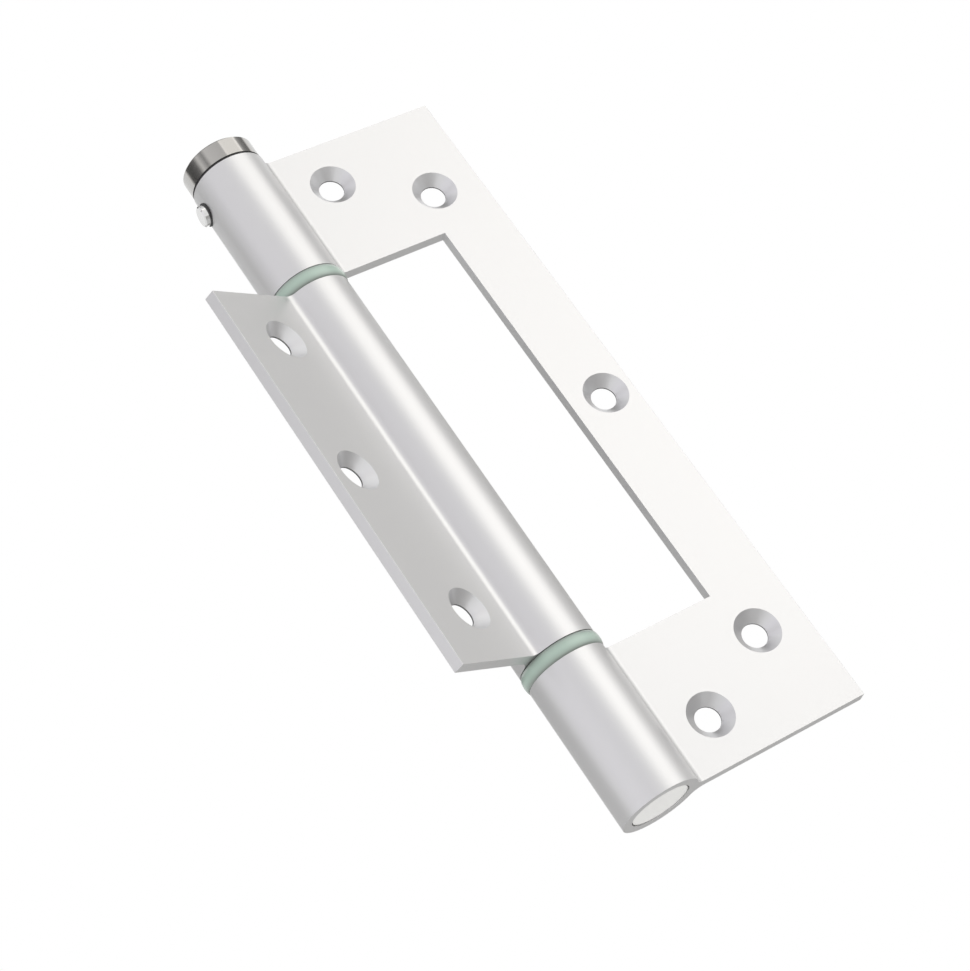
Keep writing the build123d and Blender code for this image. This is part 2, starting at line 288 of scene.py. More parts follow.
def turned_countersinks(name, finishes, leaf_normal):
    """Countersinks cut with a turning tool before the leaf was anodised.

    The cutter leaves fine rings, which lie at equal depths under the leaf's face, and a brighter
    and less matt cone than the blasted faces round it.
    """
    material, tree = start_material(name)
    depth = add_node(
        tree,
        "ShaderNodeVectorMath",
        {0: object_place(tree), 1: leaf_normal},
        operation="DOT_PRODUCT",
    )
    rings = add_node(
        tree,
        "ShaderNodeTexNoise",
        {"W": depth.outputs["Value"], "Scale": 1 / finishes.turning_pitch, "Detail": 2.0},
        noise_dimensions="1D",
    )
    bump = add_node(
        tree,
        "ShaderNodeBump",
        {"Height": rings, "Strength": 0.08, "Distance": finishes.turning_pitch * 0.1},
    )
    shader = add_node(
        tree,
        "ShaderNodeBsdfPrincipled",
        {
            "Base Color": (*finishes.countersinks, 1),
            "Metallic": 0.88,
            "Roughness": 0.36,
            "Normal": bump,
        },
    )
    add_node(tree, "ShaderNodeOutputMaterial", {"Surface": shader})
    return material


def polished_steel(name, finishes, colour, polished_from):
    """Stainless steel, turned and then polished above a height, as on the cap.

    The polished part mirrors the studio in hard bands, with faint rings left from turning. The
    plainly turned part below it scatters the light.
    """
    material, tree = start_material(name)
    radius, height = place_round_pin(tree, object_place(tree))
    rings = turning_rings(tree, radius, height, finishes.turning_pitch)
    polished = add_node(
        tree, "ShaderNodeMath", {0: height, 1: polished_from}, operation="GREATER_THAN"
    )
    roughness = add_node(
        tree, "ShaderNodeMapRange", {"Value": polished, "To Min": 0.3, "To Max": 0.12}
    )
    depth = add_node(
        tree, "ShaderNodeMapRange", {"Value": polished, "To Min": 0.25, "To Max": 0.02}
    )
    bump = add_node(
        tree,
        "ShaderNodeBump",
        {"Height": rings, "Strength": depth, "Distance": finishes.turning_pitch * 0.1},
    )
    shader = add_node(
        tree,
        "ShaderNodeBsdfPrincipled",
        {
            "Base Color": (*colour, 1),
            "Metallic": 1.0,
            "Roughness": roughness,
            "Normal": bump,
        },
    )
    add_node(tree, "ShaderNodeOutputMaterial", {"Surface": shader})
    return material


def machined_metal(name, colour, roughness, spacing, stretch):
    """Plain machined or drawn metal: fine tool marks and a dull gleam under a film of oil."""
    material, tree = start_material(name)
    place = object_place(tree)
    marks = grain(tree, place, spacing, stretch)
    bump = add_node(
        tree, "ShaderNodeBump", {"Height": marks, "Strength": 0.15, "Distance": spacing * 0.1}
    )
    sheen = add_node(
        tree,
        "ShaderNodeMapRange",
        {"Value": marks, "To Min": roughness - 0.04, "To Max": roughness + 0.06},
    )
    shader = add_node(
        tree,
        "ShaderNodeBsdfPrincipled",
        {"Base Color": (*colour, 1), "Metallic": 1.0, "Roughness": sheen, "Normal": bump},
    )
    add_node(tree, "ShaderNodeOutputMaterial", {"Surface": shader})
    return material


def moulded_plastic(name, colour, roughness, depth, grit):
    """Moulded nylon or acetal: an even colour that light sinks into, and a soft waxy highlight."""
    material, tree = start_material(name)
    place = object_place(tree)
    flow = grain(tree, place, grit)
    bump = add_node(
        tree, "ShaderNodeBump", {"Height": flow, "Strength": 0.08, "Distance": grit * 0.1}
    )
    sheen = add_node(
        tree,
        "ShaderNodeMapRange",
        {"Value": flow, "To Min": roughness - 0.03, "To Max": roughness + 0.05},
    )
    shader = add_node(
        tree,
        "ShaderNodeBsdfPrincipled",
        {
            "Base Color": (*colour, 1),
            "Roughness": sheen,
            "IOR": 1.53,
            "Subsurface Weight": 0.2,
            "Subsurface Radius": (depth, depth, depth),
            "Subsurface Scale": 1.0,
            "Normal": bump,
        },
    )
    add_node(tree, "ShaderNodeOutputMaterial", {"Surface": shader})
    return material


def nylon_with_painted_shade(finishes, rim):
    """Moulded nylon of the bearing rings, a little clear.

    Its colour is painted darker and greyer from the pale round rim in to the knuckles' ends, as
    painted shade of the grooves beside the knuckles.
    Its skin is glossy from the mould.
    """
    material, tree = start_material("nylon_with_painted_shade")
    place = object_place(tree)
    radius = place_round_pin(tree, place)[0]
    # Painted shade: the ring's colour is mixed from a darker grey at its foot, beside the knuckles'
    # ends, to the pale green of its rim.
    share = add_node(
        tree,
        "ShaderNodeMapRange",
        {"Value": radius, "From Min": rim - finishes.painted_shade_reach, "From Max": rim},
    )
    shade = add_node(
        tree,
        "ShaderNodeMix",
        {0: share, 6: (*finishes.painted_shade_nylon, 1), 7: (*finishes.green_nylon, 1)},
        data_type="RGBA",
    )
    flow = grain(tree, place, finishes.moulding_grit)
    bump = add_node(
        tree,
        "ShaderNodeBump",
        {"Height": flow, "Strength": 0.08, "Distance": finishes.moulding_grit * 0.1},
    )
    sheen = add_node(tree, "ShaderNodeMapRange", {"Value": flow, "To Min": 0.2, "To Max": 0.28})
    shader = add_node(
        tree,
        "ShaderNodeBsdfPrincipled",
        {
            "Base Color": shade.outputs[2],
            "Roughness": sheen,
            "IOR": 1.53,
            "Coat Weight": 0.5,
            "Coat Roughness": 0.2,
            "Normal": bump,
        },
    )
    add_node(tree, "ShaderNodeOutputMaterial", {"Surface": shader})
    return material


def dress(node, material):
    """Give a frame node its material, in every slot that it has."""
    piece = frame["nodes"][node]
    if not piece.material_slots:
        piece.data.materials.append(material)
    for slot in piece.material_slots:
        slot.material = material


# Meshes

def stand_in(mesh, node, materials):
    """A detailed piece at the origin that stands for a frame node and rides on its body.

    Clearing the mesh's materials would move every face to the first one, so the faces' own
    choices are kept and given back.
    """
    mesh.name = node
    kinds = [face.material_index for face in mesh.polygons]
    mesh.materials.clear()
    for material in materials:
        mesh.materials.append(material)
    mesh.polygons.foreach_set("material_index", kinds)
    piece = add_object(mesh.name + "_finished", mesh)
    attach(piece, frame["nodes"][node]["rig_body"])
    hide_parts(node)
    return piece


def leaf_normal_of(shape):
    """The normal of the largest flat face, which is a leaf's own."""
    return max(shape.faces, key=lambda face: face.calc_area()).normal.copy()


def smooth_regions(shape, sharp_angle):
    """The faces in groups, each bounded by edges that turn by more than the sharp angle."""
    regions, seen = [], set()
    for seed in shape.faces:
        if seed in seen:
            continue
        seen.add(seed)
        region = [seed]
        for face in region:
            for edge in face.edges:
                if len(edge.link_faces) == 2 and edge.calc_face_angle() <= sharp_angle:
                    fresh = [neighbour for neighbour in edge.link_faces if neighbour not in seen]
                    seen.update(fresh)
                    region.extend(fresh)
        regions.append(region)
    return regions


def mark_screw_holes(shape, leaf_normal, sharp_angle):
    """Give the second material to the countersinks, and the third to the walls drilled under them.

    A countersink is a smooth region that slopes at 45 degrees all over, and a drilled wall is an
    upright region that meets one.
    The drilled walls' material is dark grey, as painted shade inside the holes.
    """
    slope = math.cos(CONE_ANGLE)
    regions = smooth_regions(shape, sharp_angle)
    for region in regions:
        slopes = [abs(face.normal.dot(leaf_normal)) for face in region]
        if all(abs(part - slope) < SLOPE_TOLERANCE for part in slopes):
            for face in region:
                face.material_index = 1
    # Painted shade: the drilled walls take the third material, which is dark grey.
    for region in regions:
        upright = all(abs(face.normal.dot(leaf_normal)) < SLOPE_TOLERANCE for face in region)
        neighbours = (other for face in region for edge in face.edges for other in edge.link_faces)
        if upright and any(other.material_index == 1 for other in neighbours):
            for face in region:
                face.material_index = 2


def with_broken_edges(node, edge_break, sharp_angle):
    """A copy of a leaf, merged, with each sharp edge rounded over and the flats kept flat.

    Returns the mesh, whose screw holes have materials of their own, and the leaf's normal.
    """
    mesh = frame["nodes"][node].data.copy()
    shape = bmesh.new()
    shape.from_mesh(mesh)
    bmesh.ops.remove_doubles(shape, verts=shape.verts, dist=SAME_POINT)
    bmesh.ops.dissolve_limit(
        shape, angle_limit=math.radians(0.2), verts=shape.verts, edges=shape.edges
    )
    leaf_normal = leaf_normal_of(shape)
    mark_screw_holes(shape, leaf_normal, sharp_angle)
    sharp = [
        edge
        for edge in shape.edges
        if len(edge.link_faces) == 2 and edge.calc_face_angle() > sharp_angle
    ]
    bmesh.ops.bevel(
        shape,
        geom=sharp,
        offset=edge_break,
        offset_type="OFFSET",
        segments=2,
        profile=0.5,
        affect="EDGES",
        clamp_overlap=True,
    )
    crowded = [face for face in shape.faces if len(face.verts) > 4]
    bmesh.ops.triangulate(shape, faces=crowded)
    shape.to_mesh(mesh)
    shape.free()
    mesh.shade_smooth()
    carrier = add_object(node, mesh)
    weights = carrier.modifiers.new("weighted normals", "WEIGHTED_NORMAL")
    weights.mode = "FACE_AREA_WITH_ANGLE"
    graph = bpy.context.evaluated_depsgraph_get()
    finished = bpy.data.meshes.new_from_object(carrier.evaluated_get(graph))
    bpy.data.objects.remove(carrier)
    return finished, leaf_normal


# Geometry Nodes

def start_tree(name, inputs):
    """A geometry tree with named inputs, and the socket identifier of each of them."""
    tree = bpy.data.node_groups.new(name, "GeometryNodeTree")
    tree.interface.new_socket(name="Geometry", in_out="OUTPUT", socket_type="NodeSocketGeometry")
    identifiers = {}
    for label, kind in inputs.items():
        socket = tree.interface.new_socket(name=label, in_out="INPUT", socket_type=kind)
        identifiers[label] = socket.identifier
    values = add_node(tree, "NodeGroupInput").outputs
    return tree, values, identifiers


def finish_tree(tree, geometry, material):
    """Shade the result smooth, realise it, give it its material and send it out."""
    smooth = add_node(tree, "GeometryNodeSetShadeSmooth", {"Geometry": geometry})
    realised = add_node(tree, "GeometryNodeRealizeInstances", {"Geometry": smooth})
    finished = add_node(
        tree, "GeometryNodeSetMaterial", {"Geometry": realised, "Material": material}
    )
    add_node(tree, "NodeGroupOutput", {0: finished})


def run_tree(tree, identifiers, values):
    """Run a tree once and return its result as a plain mesh, merged and facing outwards."""
    carrier = add_object(tree.name, bpy.data.meshes.new(tree.name))
    modifier = carrier.modifiers.new(tree.name, "NODES")
    modifier.node_group = tree
    for label, value in values.items():
        modifier[identifiers[label]] = value
    graph = bpy.context.evaluated_depsgraph_get()
    mesh = bpy.data.meshes.new_from_object(carrier.evaluated_get(graph))
    bpy.data.objects.remove(carrier)
    shape = bmesh.new()
    shape.from_mesh(mesh)
    bmesh.ops.remove_doubles(shape, verts=shape.verts, dist=SAME_POINT / 2)
    bmesh.ops.recalc_face_normals(shape, faces=shape.faces)
    shape.to_mesh(mesh)
    shape.free()
    return mesh


def move_to_corners(tree, geometry, corners):
    """Move a geometry's points, in their order, to corners given as X and Y."""
    switch = add_node(tree, "GeometryNodeIndexSwitch", data_type="VECTOR")
    while len(switch.index_switch_items) < len(corners):
        switch.index_switch_items.new()
    tree.links.new(add_node(tree, "GeometryNodeInputIndex").outputs[0], switch.inputs["Index"])
    for number, (across, up) in enumerate(corners):
        point = add_node(tree, "ShaderNodeCombineXYZ", {"X": across, "Y": up})
        tree.links.new(point.outputs[0], switch.inputs[number + 1])
    return add_node(tree, "GeometryNodeSetPosition", {"Geometry": geometry, "Position": switch})


def roll_up(tree, geometry, radius, angle, height, centre):
    """Roll a flat layout round an upright axis, from each point's radius, angle and height."""
    cosine = add_node(tree, "ShaderNodeMath", {0: angle}, operation="COSINE")
    sine = add_node(tree, "ShaderNodeMath", {0: angle}, operation="SINE")
    across = add_node(tree, "ShaderNodeMath", {0: radius, 1: cosine}, operation="MULTIPLY")
    along = add_node(tree, "ShaderNodeMath", {0: radius, 1: sine}, operation="MULTIPLY")
    rolled = add_node(tree, "ShaderNodeCombineXYZ", {"X": across, "Y": along, "Z": height})
    placed = add_node(tree, "ShaderNodeVectorMath", {0: rolled, 1: centre}, operation="ADD")
    return add_node(tree, "GeometryNodeSetPosition", {"Geometry": geometry, "Position": placed})


def turned_section_tree():
    """A closed section swept once round an upright axis, for bushes, washers and rings.

    The section is a plain wall with a thinner spigot on its upper side. Its corners are eased,
    and its outer face may swell outwards in half an ellipse. The section is swept along a straight
    line as long as one turn, and that bar is then rolled up.
    """
    tree, values, identifiers = start_tree(
        "turned_section",
        {
            "Centre": "NodeSocketVector",
            "Inner radius": "NodeSocketFloat",
            "Outer radius": "NodeSocketFloat",
            "Spigot radius": "NodeSocketFloat",
            "Low": "NodeSocketFloat",
            "High": "NodeSocketFloat",
            "Spigot top": "NodeSocketFloat",
            "Bulge": "NodeSocketFloat",
            "Edge ease": "NodeSocketFloat",
            "Cuts": "NodeSocketInt",
            "Stations": "NodeSocketInt",
            "Material": "NodeSocketMaterial",
        },
    )
    inner, outer, spigot = (values[word + " radius"] for word in ("Inner", "Outer", "Spigot"))
    low, high, top = values["Low"], values["High"], values["Spigot top"]
    corners = [
        (inner, low),
        (outer, low),
        (outer, high),
        (spigot, high),
        (spigot, top),
        (inner, top),
    ]
    loop = add_node(tree, "GeometryNodeMeshCircle", {"Vertices": len(corners)})
    placed = move_to_corners(tree, loop.outputs["Mesh"], corners)
    merged = add_node(
        tree, "GeometryNodeMergeByDistance", {"Geometry": placed, "Distance": TOUCH}
    )
    curve = add_node(tree, "GeometryNodeMeshToCurve", {"Mesh": merged})
    eased = add_node(
        tree,
        "GeometryNodeFilletCurve",
        {"Curve": curve, "Radius": values["Edge ease"], "Limit Radius": True, "Count": 2},
        mode="POLY",
    )
    fine = add_node(tree, "GeometryNodeSubdivideCurve", {"Curve": eased, "Cuts": values["Cuts"]})

    section_place = add_node(tree, "GeometryNodeInputPosition")
    here = add_node(tree, "ShaderNodeSeparateXYZ", {0: section_place})
    share = add_node(
        tree,
        "ShaderNodeMapRange",
        {"Value": here.outputs["Y"], "From Min": low, "From Max": high, "To Min": -1, "To Max": 1},
    )
    square = add_node(tree, "ShaderNodeMath", {0: share, 1: share}, operation="MULTIPLY")
    remainder = add_node(
        tree, "ShaderNodeMath", {0: 1.0, 1: square}, operation="SUBTRACT", use_clamp=True
    )
    bow = add_node(tree, "ShaderNodeMath", {0: remainder}, operation="SQRT")
    rim = add_node(tree, "ShaderNodeMath", {0: outer, 1: 2 * TOUCH}, operation="SUBTRACT")
    on_rim = add_node(
        tree, "ShaderNodeMath", {0: here.outputs["X"], 1: rim}, operation="GREATER_THAN"
    )
    swell = add_node(tree, "ShaderNodeMath", {0: bow, 1: values["Bulge"]}, operation="MULTIPLY")
    held = add_node(tree, "ShaderNodeMath", {0: swell, 1: on_rim}, operation="MULTIPLY")
    shift = add_node(tree, "ShaderNodeCombineXYZ", {"X": held})
    swollen = add_node(tree, "GeometryNodeSetPosition", {"Geometry": fine, "Offset": shift})

    turn = add_node(tree, "GeometryNodeCurvePrimitiveLine", {"End": (0, 0, 2 * math.pi)})
    steps = add_node(
        tree, "GeometryNodeResampleCurve", {"Curve": turn, "Count": values["Stations"]}
    )
    bar = add_node(
        tree, "GeometryNodeCurveToMesh", {"Curve": steps, "Profile Curve": swollen}
    )
    bar_place = add_node(tree, "GeometryNodeInputPosition")
    flat = add_node(tree, "ShaderNodeSeparateXYZ", {0: bar_place})
    rolled = roll_up(
        tree, bar, flat.outputs["X"], flat.outputs["Z"], flat.outputs["Y"], values["Centre"]
    )
    finish_tree(tree, rolled, values["Material"])
    return tree, identifiers


def wound_spring_tree():
    """Round wire wound on a cylinder, with a bend and a straight tang at each end.

    The wire's line is laid out flat first: up a tang, round a corner, along the slope of the
    coils, round a corner and up the other tang. That line is then rolled up and given its wire.
    """
    tree, values, identifiers = start_tree(
        "wound_spring",
        {
            "Centre": "NodeSocketVector",
            "Coil radius": "NodeSocketFloat",
            "Wire radius": "NodeSocketFloat",
            "Low": "NodeSocketFloat",
            "Coil low": "NodeSocketFloat",
            "Coil high": "NodeSocketFloat",
            "High": "NodeSocketFloat",
            "Turned": "NodeSocketFloat",
            "Start angle": "NodeSocketFloat",
            "Bend radius": "NodeSocketFloat",
            "Steps": "NodeSocketInt",
            "From share": "NodeSocketFloat",
            "To share": "NodeSocketFloat",
            "Material": "NodeSocketMaterial",
        },
    )
    coil_radius = values["Coil radius"]
    unrolled = add_node(
        tree, "ShaderNodeMath", {0: values["Turned"], 1: coil_radius}, operation="MULTIPLY"
    ).outputs[0]
    corners = [
        (0.0, values["Low"]),
        (0.0, values["Coil low"]),
        (unrolled, values["Coil high"]),
        (unrolled, values["High"]),
    ]
    line = add_node(tree, "GeometryNodeMeshLine", {"Count": len(corners)})
    placed = move_to_corners(tree, line.outputs[0], corners)
    curve = add_node(tree, "GeometryNodeMeshToCurve", {"Mesh": placed})
    bent = add_node(
        tree,
        "GeometryNodeFilletCurve",
        {"Curve": curve, "Radius": values["Bend radius"], "Limit Radius": True, "Count": 8},
        mode="POLY",
    )
    stepped = add_node(
        tree, "GeometryNodeResampleCurve", {"Curve": bent, "Count": values["Steps"]}
    )
    part = add_node(
        tree,
        "GeometryNodeTrimCurve",
        {"Curve": stepped, "Start": values["From share"], "End": values["To share"]},
    )
    line_place = add_node(tree, "GeometryNodeInputPosition")
    flat = add_node(tree, "ShaderNodeSeparateXYZ", {0: line_place})
    swept = add_node(
        tree, "ShaderNodeMath", {0: flat.outputs["X"], 1: coil_radius}, operation="DIVIDE"
    )
    angle = add_node(
        tree, "ShaderNodeMath", {0: swept, 1: values["Start angle"]}, operation="ADD"
    )
    rolled = roll_up(tree, part, coil_radius, angle, flat.outputs["Y"], values["Centre"])
    wire = add_node(
        tree,
        "GeometryNodeCurvePrimitiveCircle",
        {"Resolution": 14, "Radius": values["Wire radius"]},
    )
    wound = add_node(
        tree,
        "GeometryNodeCurveToMesh",
        {"Curve": rolled, "Profile Curve": wire, "Fill Caps": True},
    )
    finish_tree(tree, wound, values["Material"])
    return tree, identifiers


# Properties

def length(name, description, millimetres):
    """A length property, given in millimetres and kept in metres."""
    return FloatProperty(
        name=name,
        description=description,
        default=millimetres * MM,
        min=0.0,
        subtype="DISTANCE",
        unit="LENGTH",
        precision=5,
    )


def colour(name, description, code):
    """A colour property, given as sRGB hex."""
    return FloatVectorProperty(
        name=name,
        description=description,
        default=linear(code)[:3],
        min=0.0,
        max=1.0,
        size=3,
        subtype="COLOR",
    )


class HingeSizes(bpy.types.PropertyGroup):
    """Sizes that the finished pieces add to the frame's own."""

    edge_break: length("Edge break", "Radius of the eased edges on both leaves", 0.03)
    sharp_angle: FloatProperty(
        name="Sharp angle",
        description="Edges that turn by more than this are eased",
        default=math.radians(25),
        subtype="ANGLE",
        unit="ROTATION",
    )
    moulded_ease: length("Moulded ease", "Radius on the corners of the bushes", 0.12)
    ring_ease: length("Ring ease", "Radius on the inner corners of the bearing rings", 0.02)
    turned_ease: length("Turned ease", "Radius on the corners of the steel washers", 0.06)
    wire_diameter: length("Wire", "Diameter of the torsion spring's wire", 2.4)
    coil_gap: length("Coil gap", "Gap between neighbouring coils", 0.25)
    tang_length: length("Tang", "Straight length at each end of the spring", 4.5)
    tang_bend: length("Tang bend", "Radius of the bend between coil and tang", 2.0)
    tang_azimuth: FloatProperty(
        name="Tang azimuth",
        description="Where the spring's lower tang stands round the pin",
        default=math.radians(245),
        subtype="ANGLE",
        unit="ROTATION",
    )
    wire_steps: IntProperty(
        name="Wire steps", description="Stations along the spring's wire", default=1100, min=100
    )


class HingeFinishes(bpy.types.PropertyGroup):
    """Colours and tool marks."""

    aluminium: colour("Aluminium", "Silver anodised aluminium of both leaves", "D8D8D8")
    countersinks: colour("Countersinks", "Turned cones of the screw holes, anodised", "DADADB")
    # Painted shade: a dark grey for the drilled walls under the countersinks, for the shade inside
    # the narrow holes.
    drilled_walls_painted_shade: colour("Drilled walls", "Dull walls drilled under the countersinks", "6A6A6A")
    polished_steel: colour("Polished steel", "Stainless steel of the cap and spindle", "BEBDBB")
    pin_steel: colour("Pin steel", "Bright ground steel of the lock pin", "DCDCDB")
    plain_steel: colour("Plain steel", "Turned steel inside the barrel", "A9A8A6")
    spring_steel: colour("Spring steel", "Oiled spring wire", "6E6E70")
    green_nylon: colour("Green nylon", "Rims of the bearing rings between the knuckles", "B3C8BC")
    # Painted shade: the darker grey painted on the bearing rings beside the knuckles' ends.
    painted_shade_nylon: colour("Deep nylon", "Bearing rings close to the knuckles' ends", "8A948D")
    white_acetal: colour("White acetal", "Bushes inside the barrel", "E6E6E0")
    black_acetal: colour("Black acetal", "Slip washer under the cap", "1E1E1F")
    plug: colour("Plug", "White nylon plug in the lower end of the barrel", "FAFAF8")
    blast_grit: length("Blast grit", "Spacing of the blasted tooth, coarse enough to show", 0.3)
    die_line_spacing: length("Die lines", "Spacing of the lines along the extrusion", 0.45)
    turning_pitch: length("Turning pitch", "Spacing of the lathe's rings", 0.12)
    # How far in from the rim the bearing rings' painted shade reaches.
    painted_shade_reach: length("Rim depth", "How deep the bearing rings' pale rim goes", 0.27)
    moulding_grit: length("Moulding grit", "Spacing of the mould's fine texture", 0.25)


class HingeStudio(bpy.types.PropertyGroup):
    """Lens, floor, key lamp and room."""

    focal_length: FloatProperty(
        name="Focal length",
        description="Lens of the camera, for a 36 mm sensor on the picture's long side",
        default=87.987,
        min=1.0,
        subtype="DISTANCE_CAMERA",
        unit="CAMERA",
    )
    floor_drop: length("Floor drop", "How far the floor lies under the part's origin", 420)
    key_strength: FloatProperty(
        name="Key strength",
        description="Radiance of the large soft key lamp",
        default=0.77,
        min=0.0,
    )
    key_colour: colour("Key colour", "Slightly warm light of the key lamp", "FFFBF5")
    world_strength: FloatProperty(
        name="World strength",
        description="Light of the pale room on rough surfaces",
        default=0.8,
        min=0.0,
    )


# Operators

class HINGE_OT_leaves(bpy.types.Operator):
    """Finish both extruded leaves: eased edges and satin anodised aluminium"""

    bl_idname = "hinge.leaves"
    bl_label = "Finish Leaves"

    def execute(self, context):
        sizes, finishes = context.scene.hinge_sizes, context.scene.hinge_finishes
        aluminium = satin_anodised_aluminium(finishes)
        # Painted shade: the drilled walls get a dark grey, for the shade inside the narrow holes.
        drilled = machined_metal(
            "drilled_aluminium_painted_shade", finishes.drilled_walls_painted_shade, 0.5, finishes.turning_pitch, (6, 6, 1)
        )
        for node in ("frame_leaf", "door_leaf"):
            mesh, leaf_normal = with_broken_edges(node, sizes.edge_break, sizes.sharp_angle)
            cones = turned_countersinks(node + "_countersinks", finishes, leaf_normal)
            stand_in(mesh, node, [aluminium, cones, drilled])
        return {"FINISHED"}


class HINGE_OT_tension_set(bpy.types.Operator):
    """Finish the tension cap with its spindle, and the lock pin that holds it"""

    bl_idname = "hinge.tension_set"
    bl_label = "Finish Cap and Lock Pin"

    def execute(self, context):
        finishes = context.scene.hinge_finishes
        steel = polished_steel(
            "polished_cap_steel", finishes, finishes.polished_steel, WASHER_HIGH.z - TOUCH
        )
        dress("tension_spindle", steel)
        black = moulded_plastic(
            "black_sleeve_acetal", finishes.black_acetal, 0.45, 0.1 * MM, finishes.moulding_grit
        )
        dress("pin_sleeve", black)
        bright = polished_steel(
            "bright_pin_steel", finishes, finishes.pin_steel, PIN_POLISHED_FROM
        )
        dress("lock_pin", bright)
        return {"FINISHED"}


class HINGE_OT_turned_rings(bpy.types.Operator):
    """Make the bearing rings, bushes and washers from their own turned sections"""

    bl_idname = "hinge.turned_rings"
    bl_label = "Make Rings, Bushes and Washers"

    def execute(self, context):
        sizes, finishes = context.scene.hinge_sizes, context.scene.hinge_finishes
        grit = finishes.moulding_grit
        rim = max(radial_distance(point) for point in node_points("upper_bearing_ring"))
        # The bearing rings get their green with painted shade towards the knuckles' ends.
        green = nylon_with_painted_shade(finishes, rim)
        white = moulded_plastic("white_acetal", finishes.white_acetal, 0.35, 0.8 * MM, grit)
        black = moulded_plastic("black_acetal", finishes.black_acetal, 0.45, 0.1 * MM, grit)
        steel = machined_metal(
            "turned_washer_steel", finishes.plain_steel, 0.3, finishes.turning_pitch, (1, 1, 1)
        )
        tree, identifiers = turned_section_tree()
        kinds = {
            "upper_bearing_ring": (green, "green_plastic", sizes.ring_ease, True),
            "lower_bearing_ring": (green, "green_plastic", sizes.ring_ease, True),
            "guide_bush": (white, "white_plastic", sizes.moulded_ease, False),
            "collar_bush": (white, "white_plastic", sizes.moulded_ease, False),
            "upper_pivot_bush": (white, "white_plastic", sizes.moulded_ease, False),
            "lower_pivot_bush": (white, "white_plastic", sizes.moulded_ease, False),
            "cap_washer": (black, "black_plastic", sizes.turned_ease, False),
            "thrust_disc": (steel, "plain_steel", sizes.turned_ease, False),
        }
        for node, (material, slot, ease, bowed) in kinds.items():
            section = measure_section(node, bowed)
            values = {
                "Centre": PIN,
                "Edge ease": ease,
                "Cuts": 15 if bowed else 0,
                "Stations": 145,
                "Material": material,
                **section,
            }
            mesh = run_tree(tree, identifiers, values)
            stand_in(mesh, node, [material])
        return {"FINISHED"}


def measure_section(node, bowed):
    """Read a turned node's section from its points: radii, heights, spigot and bow."""
    low, high = (corner.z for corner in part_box(node))
    points = node_points(node)
    radii = [radial_distance(point) for point in points]
    rim = max(radii)
    at_foot = [radial_distance(point) for point in points if point.z < low + TOUCH]
    outer = max(at_foot) if bowed else rim
    shoulder = max(point.z for point in points if radial_distance(point) > outer - TOUCH)
    at_top = [radial_distance(point) for point in points if point.z > high - TOUCH]
    return {
        "Inner radius": min(radii),
        "Outer radius": outer,
        "Spigot radius": max(at_top),
        "Low": low,
        "High": shoulder,
        "Spigot top": high,
        "Bulge": rim - outer,
    }


class HINGE_OT_torsion_spring(bpy.types.Operator):
    """Wind the torsion spring, in a lower and an upper half"""

    bl_idname = "hinge.torsion_spring"
    bl_label = "Wind Torsion Spring"

    def execute(self, context):
        sizes, finishes = context.scene.hinge_sizes, context.scene.hinge_finishes
        wire = machined_metal(
            "oiled_spring_wire", finishes.spring_steel, 0.28, finishes.turning_pitch, (1, 1, 1)
        )
        low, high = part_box("torsion_spring")
        wire_radius = sizes.wire_diameter / 2
        coil_radius = (high.x - low.x) / 2 - wire_radius
        bend = sizes.tang_bend
        pitch = sizes.wire_diameter + sizes.coil_gap
        coil_low = low.z + sizes.tang_length + bend
        coil_high = high.z - sizes.tang_length - bend
        turned = math.tau * (coil_high - coil_low) / pitch + 2 * bend / coil_radius
        slope = pitch / math.tau / coil_radius
        tree, identifiers = wound_spring_tree()
        middle = (low.z + high.z) / 2
        halves = {
            "_lower": (0.0, 0.5, "door", low.z, middle),
            "_upper": (0.5, 1.0, "tensioner", high.z, middle),
        }
        for suffix, (start, end, body, tang_end, still_end) in halves.items():
            values = {
                "Centre": PIN,
                "Coil radius": coil_radius,
                "Wire radius": wire_radius,
                "Low": low.z,
                "Coil low": coil_low - bend * slope,
                "Coil high": coil_high + bend * slope,
                "High": high.z,
                "Turned": turned,
                "Start angle": sizes.tang_azimuth,
                "Bend radius": bend,
                "Steps": sizes.wire_steps,
                "From share": start,
                "To share": end,
                "Material": wire,
            }
            mesh = run_tree(tree, identifiers, values)
            mesh.name = "torsion_spring" + suffix
            piece = add_object(mesh.name, mesh)
            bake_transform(piece)
            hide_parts("torsion_spring")
        return {"FINISHED"}


class HINGE_OT_core(bpy.types.Operator):
    """Finish the rod, clip, anchor, pivot, dowels and plug inside the barrel"""

    bl_idname = "hinge.core"
    bl_label = "Finish Core Pieces"

    def execute(self, context):
        finishes = context.scene.hinge_finishes
        spacing = finishes.turning_pitch
        turned = machined_metal("turned_steel", finishes.plain_steel, 0.3, spacing, (6, 6, 1))
        drawn = machined_metal("drawn_rod_steel", finishes.plain_steel, 0.25, spacing, (1, 1, 30))
        plastic = moulded_plastic(
            "white_nylon", finishes.plug, 0.4, 0.8 * MM, finishes.moulding_grit
        )
        for node in ("spring_anchor", "lower_pivot", "anchor_dowel", "pivot_dowel"):
            dress(node, turned)
        for node in ("core_rod", "rod_clip"):
            dress(node, drawn)
        dress("end_plug", plastic)
        return {"FINISHED"}


class HINGE_OT_studio(bpy.types.Operator):
    """Set up the camera, the room, the pale floor, the key lamp and the reflectors"""

    bl_idname = "hinge.studio"
    bl_label = "Set Up Studio"

    def execute(self, context):
        studio = context.scene.hinge_studio
        make_camera(context.scene, studio)
        make_room(context.scene, studio)
        make_floor(studio)
        make_key_lamp(studio)
        make_reflectors()
        context.scene.view_settings.view_transform = "Standard"
        return {"FINISHED"}


# Studio

